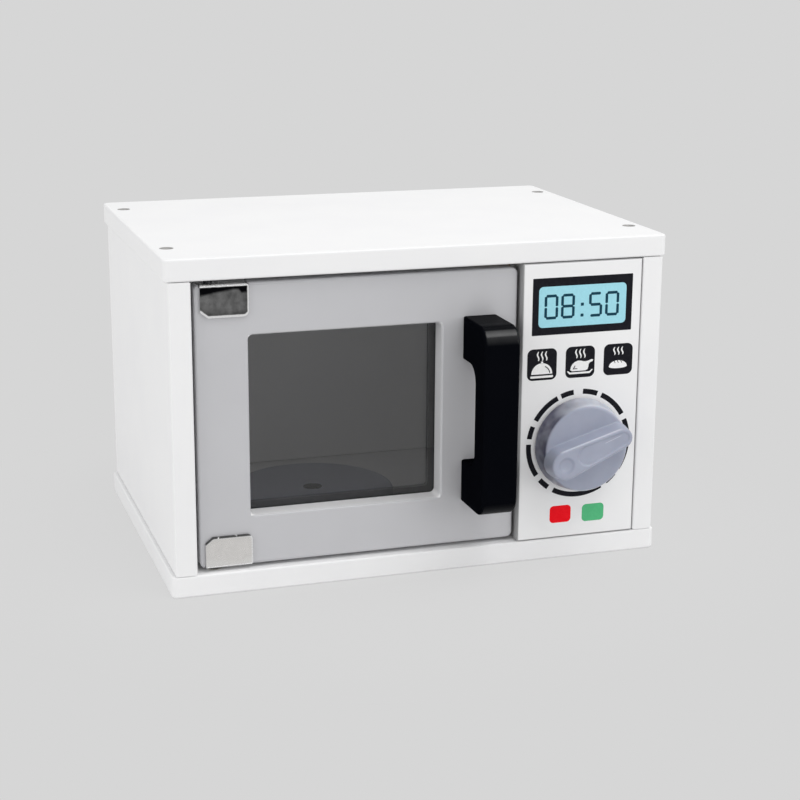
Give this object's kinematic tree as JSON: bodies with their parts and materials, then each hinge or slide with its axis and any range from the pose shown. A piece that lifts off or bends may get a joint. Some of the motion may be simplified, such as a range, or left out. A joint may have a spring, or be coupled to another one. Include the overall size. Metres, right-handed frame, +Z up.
{
  "type": "toy microwave",
  "caption": "Wooden toy microwave oven: board cabinet, windowed door that swings on pivot hinges, control panel with a turning timer knob, and a turntable that spins inside.",
  "frame": {"origin": "centre of the cabinet's underside", "axes": "+X to the right as seen from the front, -Y out of the front, +Z up; the handle and the knob stand out past the front of the cabinet"},
  "size_m": [0.212, 0.1735, 0.138],
  "materials": {
    "white_paint": "white satin paint over board",
    "grey_paint": "light grey satin paint over board",
    "black_paint": "black satin paint over board",
    "tinted_sheet": "smoke tinted clear sheet",
    "raw_wood": "bare sanded wood",
    "disc_paint": "blue-grey satin paint over board",
    "black_steel": "blackened steel",
    "nickel": "bright nickel plate on folded steel sheet",
    "zinc_steel": "zinc plated",
    "magnet": "dull grey magnet",
    "nylon": "natural moulded nylon",
    "frosted_plastic": "frosted silver-blue moulding"
  },
  "bodies": {
    "cabinet": {"top_board": "white_paint", "bottom_board": "white_paint", "left_side_board": "white_paint", "right_side_board": "white_paint", "back_board": "white_paint", "control_panel": "white_paint", "top_screw_front_left": "zinc_steel", "top_screw_front_right": "zinc_steel", "top_screw_rear_left": "zinc_steel", "top_screw_rear_right": "zinc_steel", "bottom_screw_front_left": "zinc_steel", "bottom_screw_front_right": "zinc_steel", "bottom_screw_rear_left": "zinc_steel", "bottom_screw_rear_right": "zinc_steel", "upper_pivot_bush": "nylon", "lower_pivot_bush": "nylon", "door_stop_block": "raw_wood", "catch_magnet": "magnet", "turntable_washer": "nylon", "turntable_screw": "black_steel"},
    "turntable": {"turntable_disc": "disc_paint"},
    "door": {"door_frame": "grey_paint", "door_pane": "tinted_sheet", "door_handle": "black_paint", "pane_screw_lower_left": "zinc_steel", "pane_screw_lower_right": "zinc_steel", "pane_screw_upper_left": "zinc_steel", "pane_screw_upper_right": "zinc_steel", "handle_screw_upper": "zinc_steel", "handle_screw_lower": "zinc_steel", "upper_hinge_clip": "nickel", "lower_hinge_clip": "nickel", "upper_pivot_pin": "zinc_steel", "lower_pivot_pin": "zinc_steel", "upper_clip_screw": "zinc_steel", "lower_clip_screw": "zinc_steel", "strike_plate": "zinc_steel", "strike_screw": "zinc_steel"},
    "knob": {"timer_knob": "frosted_plastic", "knob_washer": "zinc_steel", "knob_screw": "zinc_steel"}
  },
  "joints": [
    {"name": "door_hinge", "type": "hinge", "parent": "cabinet", "child": "door", "pos_m": [-0.0874, -0.0672, 0.069], "axis": [0, 0, -1], "range_deg": [0, 105]},
    {"name": "knob_turn", "type": "hinge", "parent": "cabinet", "child": "knob", "pos_m": [0.0686, -0.075, 0.0506], "axis": [0, -1, 0], "continuous": true},
    {"name": "turntable_spin", "type": "hinge", "parent": "cabinet", "child": "turntable", "pos_m": [-0.0265, 0.004, 0.0135], "axis": [0, 0, 1], "continuous": true}
  ]
}
